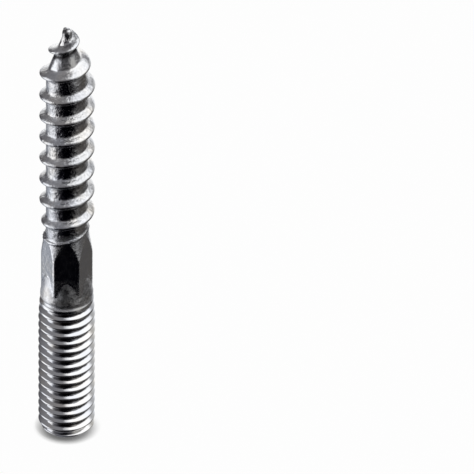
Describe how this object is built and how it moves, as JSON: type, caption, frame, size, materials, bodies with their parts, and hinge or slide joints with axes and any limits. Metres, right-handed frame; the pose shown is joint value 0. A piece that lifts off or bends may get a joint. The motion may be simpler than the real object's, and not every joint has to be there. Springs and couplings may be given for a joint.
{
  "type": "hanger bolt",
  "caption": "Zinc-plated steel hanger bolt: coarse wood thread with a gimlet point above, hexagonal grip in the middle, machine-thread stud with a six-lobe socket in its flat end below.",
  "frame": {"origin": "middle of the stud's flat end, which the bolt stands on", "axes": "+Z along the bolt's axis, from the flat end up to the point; a flat of the hexagonal grip faces -Y"},
  "size_m": [0.006, 0.006, 0.05],
  "materials": {
    "zinc_plated_steel": "satin"
  },
  "bodies": {
    "root": {"hanger_bolt": "zinc_plated_steel"}
  },
  "joints": []
}
